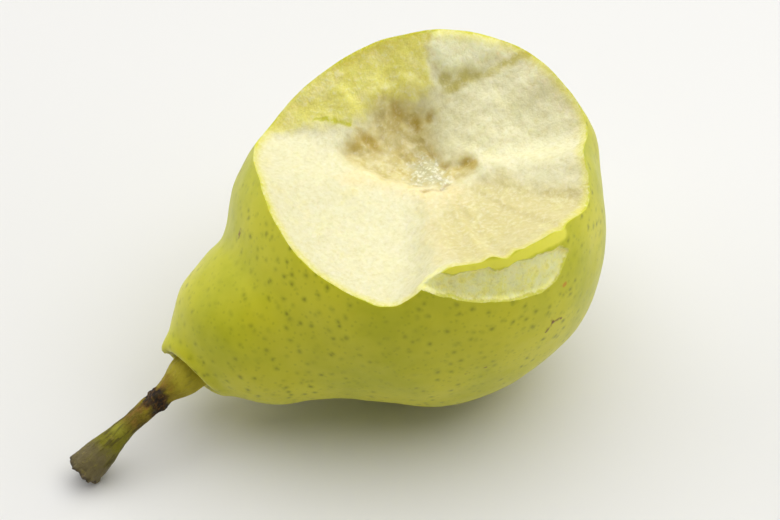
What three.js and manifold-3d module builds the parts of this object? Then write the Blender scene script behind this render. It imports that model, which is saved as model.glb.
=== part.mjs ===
// A ripe pear lying on its side with a deep bite taken out of the top of its bulb.
// Millimetres, +Z up. The origin is the centre of the small flat spot the bulb rests on,
// and +X runs along the pear's length towards its blossom end.
import * as THREE from "three";
import { mergeVertices } from "three/addons/utils/BufferGeometryUtils.js";
import Module from "manifold-3d";

const wasm = await Module();
wasm.setup();

// ---- Driving dimensions ----

const BULB_RADIUS = 37.4; // widest half-thickness of the fruit
const NECK_REACH = 61; // bulb centre to the stem end
const NECK_RADIUS = 20;
const WAIST_RADIUS = 24.5; // where neck and bulb meet
const WAIST_REACH = 35; // bulb centre to the waist
const NECK_BEND = 8; // sideways shift of the stem end
const NECK_BEND_START = 25; // bulb centre to where the neck starts to bend
const NECK_BEND_TURN = 14; // degrees up from sideways
const NECK_BEND_LIMIT = 1.2; // the bend grows no further past this share of its length
const TILT = 24; // degrees that the long axis rises towards the blossom end
const FLAT_DEPTH = 0.5; // how much of the round underside is pressed flat

const STEM_CAVITY_DEPTH = 2.5;
const STEM_CAVITY_RADIUS = 5.2;
const BLOSSOM_BASIN_DEPTH = 3;
const BLOSSOM_BASIN_RADIUS = 8;

const STEM_RADIUS = 2.05; // at its thinnest
const STEM_FOOT_RADIUS = 2.9; // where it grows out of the fruit
const STEM_END_RADIUS = 3.7; // the flared end that was on the branch
const STEM_END_LEAN = 0.86; // height of the end's middle in end radii, as it lies tilted
const STEM_ROOT_DEPTH = 4; // length held inside the fruit
const STEM_REACH = 25.2; // along X from where it leaves the fruit to its end
const STEM_SWING = 1.2; // sideways over the same length
const STEM_ARCH = 0.9; // how far it arches above a straight line
const STEM_SEAT_SHIFT = [-2.4, -1.8, -1]; // from the middle of the cavity to where it shows
const STEM_ROOT_SWING = [0.6, 1.2]; // sideways and up, from there to the hidden root
const STEM_FOOT_SHARE = 0.25; // share of the stem over which the foot thins
const STEM_FLARE_START = 0.6; // share of the stem where the end starts to flare
const STEM_FLARE_END = 0.97;
const STEM_CLEARANCE = 0.3;
const STEM_GROUND_CLEARANCE = 0.15;

const SEPAL_COUNT = 5;
const SEPAL_LENGTH = 4.6;
const SEPAL_WIDTH = 2.4;
const SEPAL_THICKNESS = 0.7;
const SEPAL_CURL = 1.1; // radians that each sepal bends outwards over its length
const SEPAL_RISE = 0.8; // height of a sepal's arc in sepal lengths
const SEPAL_TAPER = 0.7; // under 1 keeps a sepal broad along its middle
const SEPAL_WIDEST_SHARE = 0.4; // share of its length at which a sepal is widest
const SEPAL_FOOT_PINCH = 0.6; // 1 would bring its foot to a point, as its tip is
const SEPAL_FOOT_HEIGHT = 0.9; // over the basin's floor
const SEPAL_CLEARANCE = 0.3;

const BITE_FLOOR = 10; // height of the hollow's floor over the bulb centre, along the bite
const BITE_CURVE = 1.8; // 1 is a straight-sided cone, 2 a round bowl
const CORE_PIT_DEPTH = 4; // extra depth torn out at the core
const CORE_PIT_RADIUS = 8;
const SHALLOW_BITE_DEPTH = 1.1;

const BODY_RINGS = 44;
const BODY_SIDES = 56;
const BITE_RINGS = 20;
const BITE_SIDES = 72;
const SHALLOW_BITE_RINGS = 6;
const SHALLOW_BITE_SIDES = 48;
const STEM_RINGS = 26;
const STEM_SIDES = 14;
const STEM_TIPS = 2; // a closing point at each end of the stem
const SEPAL_RINGS = 8;
const SEPAL_SIDES = 8;

const SAME_POINT = 1e-4; // points closer than this are one
const WHOLE_TURN = 2 * Math.PI;
const radians = THREE.MathUtils.degToRad;

// ---- The fruit's own axes ----

const alongAxis = new THREE.Vector3(Math.cos(radians(TILT)), 0, Math.sin(radians(TILT)));
const sideAxis = new THREE.Vector3(0, 1, 0);
const crownAxis = new THREE.Vector3().crossVectors(alongAxis, sideAxis);

// ---- The fruit's outline, turned about its long axis ----

const outline = new THREE.SplineCurve(
  [
    [-NECK_REACH + STEM_CAVITY_DEPTH, 0],
    [-NECK_REACH + 0.6 * STEM_CAVITY_DEPTH, 0.5 * STEM_CAVITY_RADIUS],
    [-NECK_REACH, STEM_CAVITY_RADIUS],
    [-0.943 * NECK_REACH, 0.45 * NECK_RADIUS],
    [-0.828 * NECK_REACH, 0.8 * NECK_RADIUS],
    [-0.697 * NECK_REACH, NECK_RADIUS],
    [-WAIST_REACH, WAIST_RADIUS],
    [-0.735 * BULB_RADIUS, 0.8 * BULB_RADIUS],
    [-0.495 * BULB_RADIUS, 0.91 * BULB_RADIUS],
    [-0.214 * BULB_RADIUS, 0.995 * BULB_RADIUS],
    [0.08 * BULB_RADIUS, 0.99 * BULB_RADIUS],
    [0.361 * BULB_RADIUS, 0.9 * BULB_RADIUS],
    [0.615 * BULB_RADIUS, 0.715 * BULB_RADIUS],
    [0.816 * BULB_RADIUS, 0.457 * BULB_RADIUS],
    [0.936 * BULB_RADIUS, 1.34 * BLOSSOM_BASIN_RADIUS],
    [0.93 * BULB_RADIUS, 0.75 * BLOSSOM_BASIN_RADIUS],
    [0.936 * BULB_RADIUS - 0.83 * BLOSSOM_BASIN_DEPTH, 0.31 * BLOSSOM_BASIN_RADIUS],
    [0.936 * BULB_RADIUS - BLOSSOM_BASIN_DEPTH, 0],
  ].map(([along, radius]) => new THREE.Vector2(along, radius)),
);

// Soft swellings and dents of the skin: place along the axis, turn about it in degrees,
// half-length, half-turn in degrees, and height, which is negative for a dent.
const lobes = [
  { along: -37, turn: 56, reach: 4.2, spread: 60, height: -1.7 },
  { along: -41, turn: -130, reach: 10.7, spread: 63, height: -2.5 },
  { along: 20, turn: -60, reach: 14, spread: 40, height: 0.5 },
  { along: 9, turn: 155, reach: 15.7, spread: 47, height: 1.2 },
  { along: -18, turn: -120, reach: 13, spread: 42, height: 2.6 },
  { along: 10, turn: -127, reach: 15, spread: 38, height: 2.1 },
  { along: 31, turn: 27, reach: 9, spread: 73, height: 3.9 },
  { along: -4, turn: 44, reach: 16, spread: 32, height: -1.8 },
];

const LOBE_FADE_RADIUS = 12; // lobes fade out towards the two ends of the axis

function swelling(along, turn, radius) {
  let height = 0;
  for (const lobe of lobes) {
    const offAlong = (along - lobe.along) / lobe.reach;
    const away = turn - radians(lobe.turn);
    const offTurn = Math.atan2(Math.sin(away), Math.cos(away)) / radians(lobe.spread);
    height += lobe.height * Math.exp(-offAlong * offAlong - offTurn * offTurn);
  }
  return height * Math.min(radius / LOBE_FADE_RADIUS, 1);
}

function neckShift(along) {
  const bent = (-NECK_BEND_START - along) / (NECK_REACH - NECK_BEND_START);
  return NECK_BEND * THREE.MathUtils.clamp(bent, 0, NECK_BEND_LIMIT) ** 2;
}

// A point of the skin, from the bulb centre: share is 0 at the stem end and 1 at the blossom end.
function skinPoint(share, turn, target = new THREE.Vector3()) {
  const { x: along, y: outlineRadius } = outline.getPoint(share);
  const bare = Math.max(outlineRadius, 0);
  const radius = bare + swelling(along, turn, bare);
  const shift = neckShift(along);
  const side = shift * Math.cos(radians(NECK_BEND_TURN)) + radius * Math.cos(turn);
  const crown = shift * Math.sin(radians(NECK_BEND_TURN)) + radius * Math.sin(turn);
  return target
    .copy(alongAxis)
    .multiplyScalar(along)
    .addScaledVector(sideAxis, side)
    .addScaledVector(crownAxis, crown);
}

// The bulb centre, set so that the lowest point of the skin is FLAT_DEPTH under the origin.
function findBulbCentre() {
  const steps = 240;
  const lowest = new THREE.Vector3();
  const point = new THREE.Vector3();
  for (let i = 0; i <= steps; i++) {
    for (let j = 0; j < steps; j++) {
      skinPoint(i / steps, (WHOLE_TURN * j) / steps, point);
      if (point.z < lowest.z) lowest.copy(point);
    }
  }
  return lowest.negate().add(new THREE.Vector3(0, 0, -FLAT_DEPTH));
}

const bulbCentre = findBulbCentre();

// ---- Solids ----

function solidFrom(geometry) {
  const bare = geometry.clone();
  bare.deleteAttribute("normal");
  bare.deleteAttribute("uv");
  const merged = mergeVertices(bare, SAME_POINT);
  return new wasm.Manifold(
    new wasm.Mesh({
      numProp: 3,
      vertProperties: new Float32Array(merged.attributes.position.array),
      triVerts: new Uint32Array(merged.index.array),
    }),
  );
}

function geometryFrom(solid) {
  const { vertProperties, triVerts } = solid.getMesh();
  const geometry = new THREE.BufferGeometry();
  geometry.setAttribute("position", new THREE.BufferAttribute(vertProperties, 3));
  geometry.setIndex(new THREE.BufferAttribute(triVerts, 1));
  geometry.computeVertexNormals();
  return geometry;
}

// Moves each vertex of a unit sphere, whose poles lie on Y, to place(polar share, turn).
function shapedSphere(sides, rings, place) {
  const geometry = new THREE.SphereGeometry(1, sides, rings);
  const { position } = geometry.attributes;
  const point = new THREE.Vector3();
  for (let i = 0; i < position.count; i++) {
    const ring = Math.floor(i / (sides + 1));
    const side = (i % (sides + 1)) % sides;
    place(ring / rings, (WHOLE_TURN * side) / sides, point);
    position.setXYZ(i, point.x, point.y, point.z);
  }
  return geometry;
}

// ---- The bite ----

// The bite's own axes: out of the fruit, then across it, towards the blossom end and away.
const biteOut = new THREE.Vector3(-0.21, -0.27, 0.94).normalize();
const biteAlong = alongAxis.clone().projectOnPlane(biteOut).normalize();
const biteAcross = new THREE.Vector3().crossVectors(biteOut, biteAlong);

function bitePlace([along, across, out]) {
  return new THREE.Vector3()
    .addScaledVector(biteAlong, along)
    .addScaledVector(biteAcross, across)
    .addScaledVector(biteOut, out)
    .multiplyScalar(BULB_RADIUS);
}

// Where the bite meets the skin, in bulb radii on the bite's own axes, from the bulb centre.
const biteRim = [
  [0.87, 0.08, 0.48],
  [0.84, 0.27, 0.47],
  [0.76, 0.43, 0.47],
  [0.6, 0.57, 0.52],
  [0.41, 0.68, 0.53],
  [0.22, 0.76, 0.48],
  [0.02, 0.81, 0.45],
  [-0.17, 0.84, 0.42],
  [-0.36, 0.83, 0.38],
  [-0.55, 0.78, 0.33],
  [-0.69, 0.62, 0.45],
  [-0.79, 0.42, 0.58],
  [-0.88, 0.14, 0.63],
  [-0.89, -0.13, 0.62],
  [-0.82, -0.36, 0.6],
  [-0.72, -0.52, 0.57],
  [-0.6, -0.59, 0.6],
  [-0.38, -0.62, 0.72],
  [-0.14, -0.71, 0.72],
  [0.11, -0.75, 0.67],
  [0.26, -0.74, 0.62],
  [0.43, -0.71, 0.51],
  [0.57, -0.58, 0.49],
  [0.66, -0.44, 0.5],
  [0.8, -0.32, 0.4],
  [0.87, -0.12, 0.43],
];

// A second, shallow bite just under the skin; a thin strip of skin is left between the two.
const shallowRim = [
  [0.4, -0.81, 0.38],
  [0.44, -0.76, 0.42],
  [0.23, -0.78, 0.59],
  [0.09, -0.785, 0.64],
  [-0.04, -0.76, 0.68],
  [-0.16, -0.73, 0.7],
  [-0.28, -0.69, 0.7],
  [-0.4, -0.61, 0.71],
  [-0.51, -0.56, 0.67],
  [-0.57, -0.59, 0.62],
  [-0.5, -0.64, 0.62],
  [-0.34, -0.79, 0.57],
  [-0.19, -0.87, 0.5],
  [-0.06, -0.92, 0.44],
  [0.07, -0.91, 0.44],
  [0.19, -0.89, 0.43],
  [0.32, -0.84, 0.41],
];

const OVERCUT = 1.12; // the cut runs on past the rim by this share, rising clear of the skin
const OVERCUT_RISE = 0.12; // in bulb radii
const LID_HEIGHT = 0.9; // in bulb radii, above the heart
const LID_RINGS = 2; // rings of points that make the lid, its middle included

// How far a bowl's side lies below the straight line from its heart to its rim.
function bowlDepth(rimHeight, reach) {
  const inner = Math.min(reach, 1);
  return rimHeight * (inner - inner ** BITE_CURVE);
}

// A solid to cut away: a bowl from its heart to its rim, closed by a lid above the fruit.
function biteSolid({ rim, heart, out, depth, sides, rings }) {
  const rimCurve = new THREE.CatmullRomCurve3(rim.map(bitePlace), true, "catmullrom");
  const centre = bitePlace(heart);
  const geometry = shapedSphere(sides, rings, (share, turn, point) => {
    const ring = Math.round(share * rings);
    rimCurve.getPoint(turn / WHOLE_TURN, point);
    if (ring < LID_RINGS) {
      const spread = (OVERCUT * ring) / (LID_RINGS - 1);
      point.sub(centre).projectOnPlane(out).multiplyScalar(spread).add(centre);
      point.addScaledVector(out, LID_HEIGHT * BULB_RADIUS);
      return;
    }
    const reach = (OVERCUT * (rings - ring)) / (rings - LID_RINGS);
    const rise = (OVERCUT_RISE * BULB_RADIUS * Math.max(reach - 1, 0)) / (OVERCUT - 1);
    const rimHeight = point.sub(centre).dot(out);
    point.multiplyScalar(reach).add(centre);
    point.addScaledVector(out, rise - bowlDepth(rimHeight, reach) - depth(reach, point));
  });
  return solidFrom(geometry);
}

const heart = [0.08, 0.11, BITE_FLOOR / BULB_RADIUS];
const shallowHeart = [-0.03, -0.81, 0.57];
const shallowOut = bitePlace([0.02, -0.82, 0.57]).normalize();
const pitCentre = bitePlace([0.09, 0.24, BITE_FLOOR / BULB_RADIUS]);

function mainDepth(reach, point) {
  const offPit = point.distanceTo(pitCentre) / CORE_PIT_RADIUS;
  return CORE_PIT_DEPTH * Math.exp(-offPit * offPit);
}

function shallowDepth(reach) {
  return SHALLOW_BITE_DEPTH * (1 - Math.min(reach, 1) ** 2);
}

function fruitSolid() {
  const skin = solidFrom(
    shapedSphere(BODY_SIDES, BODY_RINGS, (share, turn, point) => skinPoint(1 - share, turn, point)),
  );
  const mainBite = biteSolid({
    rim: biteRim,
    heart,
    out: biteOut,
    depth: mainDepth,
    sides: BITE_SIDES,
    rings: BITE_RINGS,
  });
  const shallowBite = biteSolid({
    rim: shallowRim,
    heart: shallowHeart,
    out: shallowOut,
    depth: shallowDepth,
    sides: SHALLOW_BITE_SIDES,
    rings: SHALLOW_BITE_RINGS,
  });
  const below = new THREE.BoxGeometry(4 * NECK_REACH, 4 * NECK_REACH, NECK_REACH);
  below.translate(0, 0, -bulbCentre.z - NECK_REACH / 2);
  return skin.subtract(mainBite).subtract(shallowBite).subtract(solidFrom(below));
}

// ---- The stem ----

const stemSeat = skinPoint(0, 0).add(new THREE.Vector3(...STEM_SEAT_SHIFT));
const stemEnd = new THREE.Vector3(
  stemSeat.x - STEM_REACH,
  stemSeat.y - STEM_SWING,
  STEM_END_LEAN * STEM_END_RADIUS + STEM_GROUND_CLEARANCE - bulbCentre.z,
);
const stemWay = new THREE.Vector3().subVectors(stemEnd, stemSeat);
const stemRoot = stemSeat.clone().add(new THREE.Vector3(STEM_ROOT_DEPTH, ...STEM_ROOT_SWING));

function onStemWay(share) {
  const arch = STEM_ARCH * Math.sin(Math.PI * share);
  return stemSeat.clone().addScaledVector(stemWay, share).add(new THREE.Vector3(0, 0, arch));
}

const stemLine = new THREE.CatmullRomCurve3([
  stemRoot,
  stemSeat,
  onStemWay(0.25),
  onStemWay(0.5),
  onStemWay(0.75),
  stemEnd,
]);

// Radius along the stem: thick foot, slim middle, flared end.
function stemRadius(share) {
  const foot = (STEM_FOOT_RADIUS - STEM_RADIUS) * Math.exp(-((share / STEM_FOOT_SHARE) ** 2));
  const flared = THREE.MathUtils.smoothstep(share, STEM_FLARE_START, STEM_FLARE_END);
  return STEM_RADIUS + foot + (STEM_END_RADIUS - STEM_RADIUS) * flared;
}

// A closed tube round the stem's line, wider than the stem itself by the given gap.
function stemGeometry(gap) {
  const frames = stemLine.computeFrenetFrames(STEM_RINGS, false);
  const rings = STEM_RINGS + STEM_TIPS;
  return shapedSphere(STEM_SIDES, rings, (share, turn, point) => {
    const ring = Math.round(share * rings);
    const station = THREE.MathUtils.clamp(ring - 1, 0, STEM_RINGS);
    const isTip = ring === 0 || ring === rings;
    const radius = isTip ? 0 : stemRadius(station / STEM_RINGS) + gap;
    stemLine.getPointAt(station / STEM_RINGS, point);
    point.addScaledVector(frames.normals[station], radius * Math.cos(turn));
    point.addScaledVector(frames.binormals[station], -radius * Math.sin(turn));
    if (ring < 2) point.addScaledVector(frames.tangents[0], -gap);
  });
}

// ---- The dried blossom: sepals standing in the basin ----

const blossomPole = skinPoint(1, 0);

// The sepals' feet stand on a ring, just long enough to keep them apart where they are widest.
const sepalsAbreast = (SEPAL_COUNT * (SEPAL_WIDTH + SEPAL_CLEARANCE)) / WHOLE_TURN;
const widestCurl = SEPAL_CURL * SEPAL_WIDEST_SHARE;
const sepalRingRadius = sepalsAbreast - SEPAL_LENGTH * (1 - Math.cos(widestCurl));

// One sepal: it rises along X from the ring and curls outwards to its tip.
function sepalGeometry() {
  return shapedSphere(SEPAL_SIDES, SEPAL_RINGS, (way, turn, point) => {
    const isTip = way === 0 || way === 1;
    const beyond = (way - SEPAL_WIDEST_SHARE) / (1 - SEPAL_WIDEST_SHARE);
    const pinch = THREE.MathUtils.clamp(beyond, -SEPAL_FOOT_PINCH, 1);
    const widthShare = Math.cos(0.5 * Math.PI * pinch) ** SEPAL_TAPER;
    const halfWidth = isTip ? 0 : 0.5 * SEPAL_WIDTH * widthShare;
    const halfThickness = isTip ? 0 : 0.5 * SEPAL_THICKNESS * Math.sin(turn);
    const curl = SEPAL_CURL * way;
    const radius = sepalRingRadius + SEPAL_LENGTH * (1 - Math.cos(curl));
    const height = SEPAL_RISE * SEPAL_LENGTH * Math.sin(curl);
    point.set(
      height + halfThickness * Math.sin(curl),
      halfWidth * Math.cos(turn),
      radius - halfThickness * Math.cos(curl),
    );
  });
}

// ---- Materials ----

const skinMaterial = new THREE.MeshStandardMaterial({ color: 0xb4bf3c, roughness: 0.42, metalness: 0 });
const stemMaterial = new THREE.MeshStandardMaterial({ color: 0x75682f, roughness: 0.75, metalness: 0 });
const sepalMaterial = new THREE.MeshStandardMaterial({ color: 0x3d2c1c, roughness: 0.9, metalness: 0 });

// ---- Assembly ----

const pear = new THREE.Group();
const fruit = new THREE.Group();
fruit.position.copy(bulbCentre);
pear.add(fruit);

const pocket = solidFrom(stemGeometry(STEM_CLEARANCE));
const flesh = new THREE.Mesh(geometryFrom(fruitSolid().subtract(pocket)), skinMaterial);
flesh.name = "pear_flesh";
fruit.add(flesh);

const stem = new THREE.Mesh(stemGeometry(0), stemMaterial);
stem.name = "stem";
fruit.add(stem);

const blossom = new THREE.Group();
blossom.position.copy(blossomPole).addScaledVector(alongAxis, SEPAL_FOOT_HEIGHT);
blossom.quaternion.setFromRotationMatrix(
  new THREE.Matrix4().makeBasis(alongAxis, sideAxis, crownAxis),
);
fruit.add(blossom);

for (let i = 0; i < SEPAL_COUNT; i++) {
  const sepal = new THREE.Mesh(sepalGeometry(), sepalMaterial);
  sepal.name = `sepal_${i + 1}`;
  sepal.rotation.x = (WHOLE_TURN * i) / SEPAL_COUNT;
  blossom.add(sepal);
}

export default pear;
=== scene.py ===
"""The looks of a bitten pear lying on its side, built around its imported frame."""

import math

import bpy
import numpy as np
from bpy.props import FloatProperty, FloatVectorProperty, IntProperty, PointerProperty
from bpy.types import Operator, Panel, PropertyGroup
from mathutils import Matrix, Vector
from mathutils.bvhtree import BVHTree


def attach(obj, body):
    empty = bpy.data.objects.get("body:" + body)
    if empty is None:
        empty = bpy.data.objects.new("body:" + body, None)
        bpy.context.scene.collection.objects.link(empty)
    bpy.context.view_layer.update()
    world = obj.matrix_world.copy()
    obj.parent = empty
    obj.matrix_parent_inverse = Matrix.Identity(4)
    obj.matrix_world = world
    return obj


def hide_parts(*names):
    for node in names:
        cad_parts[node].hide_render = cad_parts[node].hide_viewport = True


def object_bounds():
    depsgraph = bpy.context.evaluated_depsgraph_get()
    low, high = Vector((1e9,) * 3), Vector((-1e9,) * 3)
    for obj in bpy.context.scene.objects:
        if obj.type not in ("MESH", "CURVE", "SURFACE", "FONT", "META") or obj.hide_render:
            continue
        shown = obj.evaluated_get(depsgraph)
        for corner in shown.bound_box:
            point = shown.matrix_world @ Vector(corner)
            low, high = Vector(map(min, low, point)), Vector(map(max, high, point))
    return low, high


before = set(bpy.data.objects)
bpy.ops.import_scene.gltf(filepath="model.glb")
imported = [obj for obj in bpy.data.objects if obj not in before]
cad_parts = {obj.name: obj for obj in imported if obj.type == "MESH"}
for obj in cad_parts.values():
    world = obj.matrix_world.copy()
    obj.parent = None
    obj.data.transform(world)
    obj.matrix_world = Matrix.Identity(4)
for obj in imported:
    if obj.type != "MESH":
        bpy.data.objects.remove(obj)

bl_info = {
    "name": "Bitten pear",
    "version": (1, 0, 0),
    "blender": (4, 5, 0),
    "location": "View3D > Sidebar > Pear",
    "description": "Builds a bitten pear, its stem and its dried blossom",
    "category": "Object",
}

CAD_BOX = [list(corner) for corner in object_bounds()]
MM = 0.001
WHOLE_TURN = 2 * math.pi

# ---- The fruit's shape, in millimetres from the bulb's centre ----

BULB_RADIUS = 37.4
NECK_REACH = 61.0
NECK_RADIUS = 20.0
WAIST_RADIUS = 24.5
WAIST_REACH = 35.0
NECK_BEND = 8.0
NECK_BEND_START = 25.0
NECK_BEND_TURN = math.radians(14)
NECK_BEND_LIMIT = 1.2
TILT = math.radians(24)
FLAT_DEPTH = 0.5
STEM_CAVITY_DEPTH = 2.5
STEM_CAVITY_RADIUS = 5.2
BLOSSOM_BASIN_DEPTH = 3.0
BLOSSOM_BASIN_RADIUS = 8.0

ALONG = np.array([math.cos(TILT), 0.0, math.sin(TILT)])
SIDE = np.array([0.0, 1.0, 0.0])
CROWN = np.cross(ALONG, SIDE)

OUTLINE = np.array([
    (-NECK_REACH + STEM_CAVITY_DEPTH, 0.0),
    (-NECK_REACH + 0.6 * STEM_CAVITY_DEPTH, 0.5 * STEM_CAVITY_RADIUS),
    (-NECK_REACH, STEM_CAVITY_RADIUS),
    (-0.943 * NECK_REACH, 0.45 * NECK_RADIUS),
    (-0.828 * NECK_REACH, 0.8 * NECK_RADIUS),
    (-0.697 * NECK_REACH, NECK_RADIUS),
    (-WAIST_REACH, WAIST_RADIUS),
    (-0.735 * BULB_RADIUS, 0.8 * BULB_RADIUS),
    (-0.495 * BULB_RADIUS, 0.91 * BULB_RADIUS),
    (-0.214 * BULB_RADIUS, 0.995 * BULB_RADIUS),
    (0.08 * BULB_RADIUS, 0.99 * BULB_RADIUS),
    (0.361 * BULB_RADIUS, 0.9 * BULB_RADIUS),
    (0.615 * BULB_RADIUS, 0.715 * BULB_RADIUS),
    (0.816 * BULB_RADIUS, 0.457 * BULB_RADIUS),
    (0.936 * BULB_RADIUS, 1.34 * BLOSSOM_BASIN_RADIUS),
    (0.93 * BULB_RADIUS, 0.75 * BLOSSOM_BASIN_RADIUS),
    (0.936 * BULB_RADIUS - 0.83 * BLOSSOM_BASIN_DEPTH, 0.31 * BLOSSOM_BASIN_RADIUS),
    (0.936 * BULB_RADIUS - BLOSSOM_BASIN_DEPTH, 0.0),
])

# Soft swellings and dents: place along the axis, turn about it in degrees, half-length,
# half-turn in degrees, and height, which is negative for a dent.
LOBES = (
    (-37, 56, 4.2, 60, -1.7),
    (-41, -130, 10.7, 63, -2.5),
    (20, -60, 14, 40, 0.5),
    (9, 155, 15.7, 47, 1.2),
    (-18, -120, 13, 42, 2.6),
    (10, -127, 15, 38, 2.1),
    (31, 27, 9, 73, 3.9),
    (-4, 44, 16, 32, -1.8),
)
LOBE_FADE_RADIUS = 12.0


def spline(points, share, closed=False):
    """Points on a smooth curve through the given ones, at shares of it from 0 to 1."""
    points = np.asarray(points, float)
    count = len(points)
    if closed:
        place = np.asarray(share, float) % 1.0 * count
        first = np.minimum(place.astype(int), count - 1)
        before, start, end, after = (points[(first + step) % count] for step in (-1, 0, 1, 2))
    else:
        place = np.clip(share, 0.0, 1.0) * (count - 1)
        first = np.minimum(place.astype(int), count - 2)
        picks = (np.clip(first + step, 0, count - 1) for step in (-1, 0, 1, 2))
        before, start, end, after = (points[pick] for pick in picks)
    way = (place - first)[..., None]
    leave = (end - before) / 2
    arrive = (after - start) / 2
    bend = 3 * (end - start) - 2 * leave - arrive
    twist = 2 * (start - end) + leave + arrive
    return start + way * (leave + way * (bend + way * twist))


def swelling(along, turn, radius):
    """How far the lobes lift the skin off the turned outline."""
    height = np.zeros(np.broadcast(along, turn).shape)
    for place, angle, reach, spread, lift in LOBES:
        away = turn - math.radians(angle)
        off_turn = np.arctan2(np.sin(away), np.cos(away)) / math.radians(spread)
        height = height + lift * np.exp(-(((along - place) / reach) ** 2) - off_turn**2)
    return height * np.minimum(radius / LOBE_FADE_RADIUS, 1.0)


def neck_shift(along):
    """How far the neck's middle line has bent sideways at each place along the fruit."""
    bent = (-NECK_BEND_START - along) / (NECK_REACH - NECK_BEND_START)
    return NECK_BEND * np.clip(bent, 0.0, NECK_BEND_LIMIT) ** 2


def skin_point(share, turn):
    """A point of the plain skin: share is 0 at the stem end and 1 at the blossom end."""
    on_outline = spline(OUTLINE, share)
    along = on_outline[..., 0]
    bare = np.maximum(on_outline[..., 1], 0.0)
    radius = bare + swelling(along, turn, bare)
    shift = neck_shift(along)
    side = shift * math.cos(NECK_BEND_TURN) + radius * np.cos(turn)
    crown = shift * math.sin(NECK_BEND_TURN) + radius * np.sin(turn)
    return along[..., None] * ALONG + side[..., None] * SIDE + crown[..., None] * CROWN


def find_bulb_centre():
    """Where the bulb's centre lies, for the skin's lowest point to be just under the origin."""
    shares, turns = np.meshgrid(np.arange(241) / 240, WHOLE_TURN * np.arange(240) / 240)
    points = skin_point(shares, turns).reshape(-1, 3)
    return -points[points[:, 2].argmin()] - np.array([0.0, 0.0, FLAT_DEPTH])


BULB_CENTRE = find_bulb_centre()

# ---- Helpers for uneven, grown surfaces ----


def smooth_step(value, low, high):
    share = np.clip((value - low) / (high - low), 0.0, 1.0)
    return share * share * (3 - 2 * share)


# Turns points before they meet the random lattice, so that no lumps line up with the axes.
LATTICE_TURN = np.array([(0.36, 0.48, -0.8), (-0.8, 0.6, 0.0), (0.48, 0.64, 0.6)])


def lumps(points, size, seed):
    """Smooth random heights from -1 to 1, with lumps about as wide as size."""
    turned_points = np.asarray(points, float) @ LATTICE_TURN
    scaled = turned_points / size + 50.0 + 7.31 * seed
    cell = np.floor(scaled).astype(np.int64)
    inside = scaled - cell
    weight = inside * inside * (3 - 2 * inside)
    total = np.zeros(scaled.shape[:-1])
    for corner in np.ndindex(2, 2, 2):
        node = cell + corner
        mixed = node[..., 0] * 73856093 ^ node[..., 1] * 19349663 ^ node[..., 2] * 83492791
        mixed = (mixed ^ seed * 40503 ^ (mixed >> 13)) * 1274126177 & 0xFFFFFFFF
        height = ((mixed ^ (mixed >> 15)) & 0xFFFF) / 32767.5 - 1.0
        total += height * np.prod(np.where(corner, weight, 1.0 - weight), axis=-1)
    return total


def rough(points, size, seed, layers=3):
    """Lumps with finer and lower lumps on them."""
    total = 0.0
    for layer in range(layers):
        total = total + lumps(points, size / 2**layer, seed + layer) / 2**layer
    return total


def near_path(spots, path):
    """Distance from each 2-D spot to a bent line, and the share of the line at its nearest place."""
    path = np.asarray(path, float)
    best = np.full(spots.shape[:-1], 1e9)
    where = np.zeros(spots.shape[:-1])
    for index, (start, end) in enumerate(zip(path[:-1], path[1:])):
        way = end - start
        share = np.clip(((spots - start) @ way) / (way @ way), 0.0, 1.0)
        away = np.linalg.norm(spots - start - share[..., None] * way, axis=-1)
        closer = away < best
        best = np.where(closer, away, best)
        where = np.where(closer, (index + share) / (len(path) - 1), where)
    return best, where


def blob(spots, centre, size, turn=0.0):
    """1 at a centre, fading over an oval of the given half-sizes."""
    across = spots - np.asarray(centre, float)
    cosine, sine = math.cos(math.radians(turn)), math.sin(math.radians(turn))
    first = (across[..., 0] * cosine + across[..., 1] * sine) / size[0]
    second = (across[..., 1] * cosine - across[..., 0] * sine) / size[1]
    return np.exp(-(first**2) - second**2)


def new_piece(name, points, faces, materials):
    """A smooth-shaded mesh object from points in millimetres."""
    mesh = bpy.data.meshes.new(name)
    mesh.from_pydata((np.asarray(points) * MM).tolist(), [], faces)
    for material in materials:
        mesh.materials.append(material)
    mesh.shade_smooth()
    piece = bpy.data.objects.new(name, mesh)
    bpy.context.scene.collection.objects.link(piece)
    return piece


def tube_faces(rings, sides):
    """Faces round a closed tube of rings, whose first and last points close its ends."""
    ring, side = np.meshgrid(np.arange(rings - 1), np.arange(sides), indexing="ij")
    here = 1 + ring * sides + side
    beside = 1 + ring * sides + (side + 1) % sides
    quads = np.stack([here, beside, beside + sides, here + sides], -1).reshape(-1, 4)
    around = np.arange(sides)
    following = (around + 1) % sides
    last = 1 + rings * sides
    start = np.stack([np.zeros(sides, int), 1 + following, 1 + around], -1)
    end_ring = 1 + (rings - 1) * sides
    end = np.stack([np.full(sides, last), end_ring + around, end_ring + following], -1)
    return start.tolist() + quads.tolist() + end.tolist()


def grid_faces(rows, columns):
    """The four-sided faces of a grid of points, and the points round its edge in order."""
    number = np.arange(rows * columns).reshape(rows, columns)
    quads = np.stack([number[:-1, :-1], number[:-1, 1:], number[1:, 1:], number[1:, :-1]], -1)
    edge = np.concatenate([number[:-1, 0], number[-1, :-1], number[:0:-1, -1], number[0, :0:-1]])
    return quads.reshape(-1, 4), edge


def write_marks(mesh, marks):
    """Keeps one number for each point of a mesh under each name, for its material to read."""
    for name, values in marks.items():
        layer = mesh.attributes.new(name, "FLOAT", "POINT")
        layer.data.foreach_set("value", values.astype(np.float32))


# ---- The hollow that the bite left ----

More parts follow.
